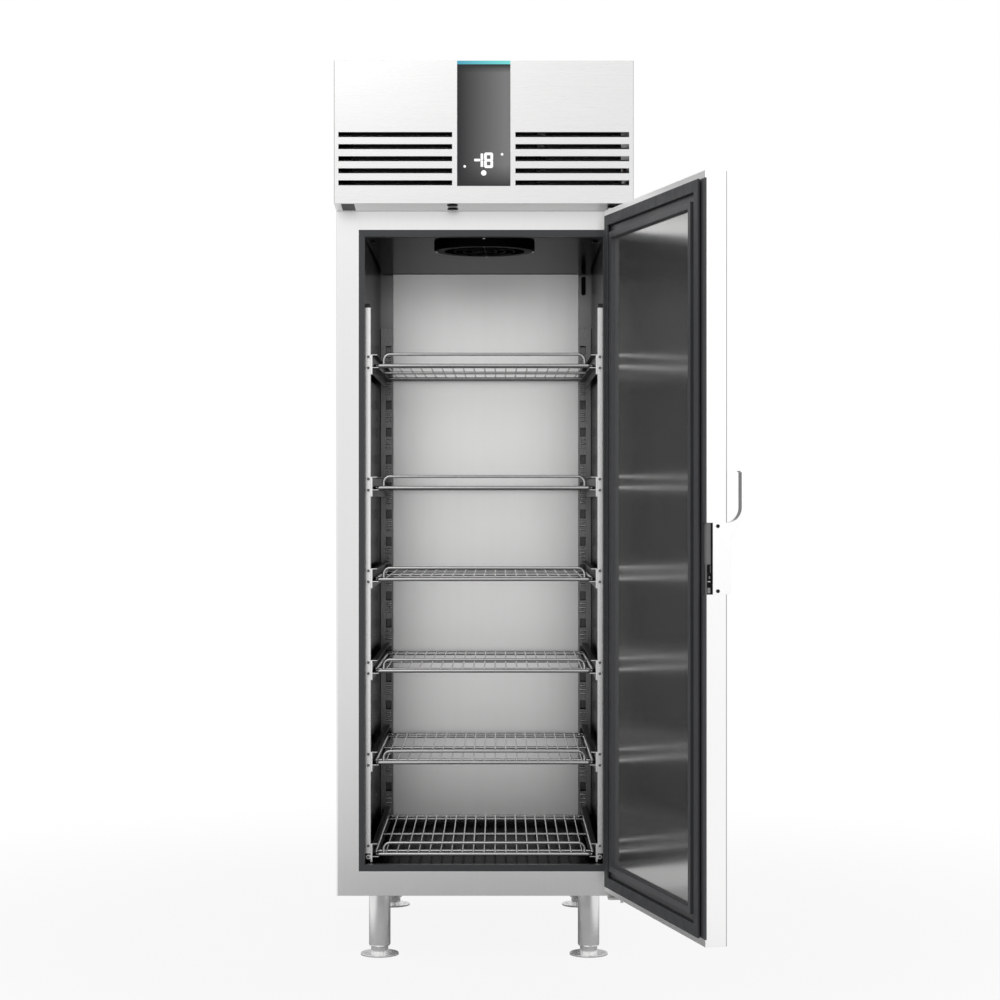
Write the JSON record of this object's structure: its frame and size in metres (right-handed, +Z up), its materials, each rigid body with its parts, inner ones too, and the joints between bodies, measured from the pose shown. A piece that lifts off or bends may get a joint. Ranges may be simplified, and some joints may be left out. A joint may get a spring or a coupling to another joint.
{
  "type": "upright freezer",
  "caption": "Upright catering freezer: insulated steel cabinet on legs, hinged door, wire shelves on runners, ceiling fan and a cooling unit behind a lift-up fascia.",
  "frame": {"origin": "on the floor under the middle of the cabinet", "axes": "+X to the right seen from the front, +Y from the door towards the back, +Z up"},
  "size_m": [0.8905, 1.4852, 2.113],
  "materials": {
    "outer_casing": "satin stainless sheet",
    "back_panel": "plain galvanised sheet",
    "base_panel": "plain galvanised sheet",
    "top_deck": "plain galvanised sheet",
    "inner_liner": "satin stainless sheet",
    "insulation": "closed-cell foam",
    "breaker_frame": "satin dark grey",
    "frame_heater": "plain",
    "ceiling_panel": "satin stainless sheet",
    "rear_air_duct": "satin stainless sheet",
    "shelf_uprights": "satin stainless sheet",
    "upright_caps": "plain black",
    "shelf_runners": "satin stainless sheet",
    "fixing_screws": "plain",
    "legs": "polished stainless",
    "hinge_brackets": "satin",
    "hinge_pins": "turned",
    "evaporator_fan_ring": "black",
    "evaporator_fan_motor": "black",
    "evaporator_box": "dark moulded foam",
    "evaporator_coil": "bare fins and copper bends",
    "condenser_coil": "bare fins and copper bends",
    "condenser_fan_housing": "black",
    "compressor": "black gloss",
    "compressor_mounts": "plain",
    "refrigerant_pipes": "copper",
    "condensate_tray": "plain",
    "control_box": "grey",
    "mains_inlet": "black",
    "unit_side_panels": "satin stainless sheet",
    "unit_rear_panel": "plain galvanised sheet",
    "unit_top_cover": "plain galvanised sheet",
    "door_skin": "satin stainless sheet",
    "door_insulation": "closed-cell foam",
    "door_inner_frame": "satin dark grey",
    "door_inner_panel": "bright stainless sheet",
    "door_gasket": "dark grey",
    "door_handle": "satin silver",
    "handle_screws": "bright",
    "lock_case": "dark grey",
    "hinge_bushes": "grey",
    "lock_cylinder": "bright",
    "fascia_panel": "satin stainless sheet",
    "door_switch": "black",
    "fascia_catches": "black",
    "control_panel": "dark grey glass",
    "light_bar": "lit cyan",
    "control_board": "green",
    "evaporator_fan_blade": "black",
    "condenser_fan_blade": "plain",
    "shelf_1": "drawn wire",
    "shelf_2": "drawn wire",
    "shelf_3": "drawn wire",
    "shelf_4": "drawn wire",
    "shelf_5": "drawn wire",
    "shelf_6": "drawn wire",
    "foot_front_left": "polished stainless",
    "foot_front_right": "polished stainless",
    "foot_rear_left": "polished stainless",
    "foot_rear_right": "polished stainless"
  },
  "bodies": {
    "cabinet": {"outer_casing": "outer_casing", "back_panel": "back_panel", "base_panel": "base_panel", "top_deck": "top_deck", "inner_liner": "inner_liner", "insulation": "insulation", "breaker_frame": "breaker_frame", "frame_heater": "frame_heater", "ceiling_panel": "ceiling_panel", "rear_air_duct": "rear_air_duct", "shelf_uprights": "shelf_uprights", "upright_caps": "upright_caps", "shelf_runners": "shelf_runners", "fixing_screws": "fixing_screws", "legs": "legs", "hinge_brackets": "hinge_brackets", "hinge_pins": "hinge_pins", "evaporator_fan_ring": "evaporator_fan_ring", "evaporator_fan_motor": "evaporator_fan_motor", "evaporator_box": "evaporator_box", "evaporator_coil": "evaporator_coil", "condenser_coil": "condenser_coil", "condenser_fan_housing": "condenser_fan_housing", "compressor": "compressor", "compressor_mounts": "compressor_mounts", "refrigerant_pipes": "refrigerant_pipes", "condensate_tray": "condensate_tray", "control_box": "control_box", "mains_inlet": "mains_inlet", "unit_side_panels": "unit_side_panels", "unit_rear_panel": "unit_rear_panel", "unit_top_cover": "unit_top_cover"},
    "door": {"door_skin": "door_skin", "door_insulation": "door_insulation", "door_inner_frame": "door_inner_frame", "door_inner_panel": "door_inner_panel", "door_gasket": "door_gasket", "door_handle": "door_handle", "handle_screws": "handle_screws", "lock_case": "lock_case", "hinge_bushes": "hinge_bushes"},
    "lock": {"lock_cylinder": "lock_cylinder"},
    "fascia": {"fascia_panel": "fascia_panel", "door_switch": "door_switch", "fascia_catches": "fascia_catches", "control_panel": "control_panel", "light_bar": "light_bar", "control_board": "control_board"},
    "evaporator_fan": {"evaporator_fan_blade": "evaporator_fan_blade"},
    "condenser_fan": {"condenser_fan_blade": "condenser_fan_blade"},
    "shelf_1": {"shelf_1": "shelf_1"},
    "shelf_2": {"shelf_2": "shelf_2"},
    "shelf_3": {"shelf_3": "shelf_3"},
    "shelf_4": {"shelf_4": "shelf_4"},
    "shelf_5": {"shelf_5": "shelf_5"},
    "shelf_6": {"shelf_6": "shelf_6"},
    "foot_front_left": {"foot_front_left": "foot_front_left"},
    "foot_front_right": {"foot_front_right": "foot_front_right"},
    "foot_rear_left": {"foot_rear_left": "foot_rear_left"},
    "foot_rear_right": {"foot_rear_right": "foot_rear_right"}
  },
  "joints": [
    {"name": "door_hinge", "type": "hinge", "parent": "cabinet", "child": "door", "pos_m": [0.325, -0.436, 0.967], "axis": [0, 0, 1], "range_deg": [-104.8, 15]},
    {"name": "lock_turn", "type": "hinge", "parent": "door", "child": "lock", "pos_m": [0.5004, -1.05679, 0.93], "axis": [0.9668, 0.2554, 0], "range_deg": [0, 90]},
    {"name": "fascia_hinge", "type": "hinge", "parent": "cabinet", "child": "fascia", "pos_m": [0, -0.3945, 2.109], "axis": [-1, 0, 0], "range_deg": [0, 60]},
    {"name": "evaporator_fan_spin", "type": "hinge", "parent": "cabinet", "child": "evaporator_fan", "pos_m": [0, -0.24, 1.711], "axis": [0, 0, 1], "continuous": true},
    {"name": "condenser_fan_spin", "type": "hinge", "parent": "cabinet", "child": "condenser_fan", "pos_m": [0.2355, -0.32, 1.935], "axis": [0, 1, 0], "continuous": true},
    {"name": "shelf_1_slide", "type": "slide", "parent": "cabinet", "child": "shelf_1", "axis": [0, -1, 0], "range_m": [0, 0.4]},
    {"name": "shelf_2_slide", "type": "slide", "parent": "cabinet", "child": "shelf_2", "axis": [0, -1, 0], "range_m": [0, 0.4]},
    {"name": "shelf_3_slide", "type": "slide", "parent": "cabinet", "child": "shelf_3", "axis": [0, -1, 0], "range_m": [0, 0.4]},
    {"name": "shelf_4_slide", "type": "slide", "parent": "cabinet", "child": "shelf_4", "axis": [0, -1, 0], "range_m": [0, 0.4]},
    {"name": "shelf_5_slide", "type": "slide", "parent": "cabinet", "child": "shelf_5", "axis": [0, -1, 0], "range_m": [0, 0.4]},
    {"name": "shelf_6_slide", "type": "slide", "parent": "cabinet", "child": "shelf_6", "axis": [0, -1, 0], "range_m": [0, 0.4]},
    {"name": "foot_front_left_level", "type": "slide", "parent": "cabinet", "child": "foot_front_left", "axis": [0, 0, -1], "range_m": [0, 0.025]},
    {"name": "foot_front_right_level", "type": "slide", "parent": "cabinet", "child": "foot_front_right", "axis": [0, 0, -1], "range_m": [0, 0.025]},
    {"name": "foot_rear_left_level", "type": "slide", "parent": "cabinet", "child": "foot_rear_left", "axis": [0, 0, -1], "range_m": [0, 0.025]},
    {"name": "foot_rear_right_level", "type": "slide", "parent": "cabinet", "child": "foot_rear_right", "axis": [0, 0, -1], "range_m": [0, 0.025]}
  ]
}
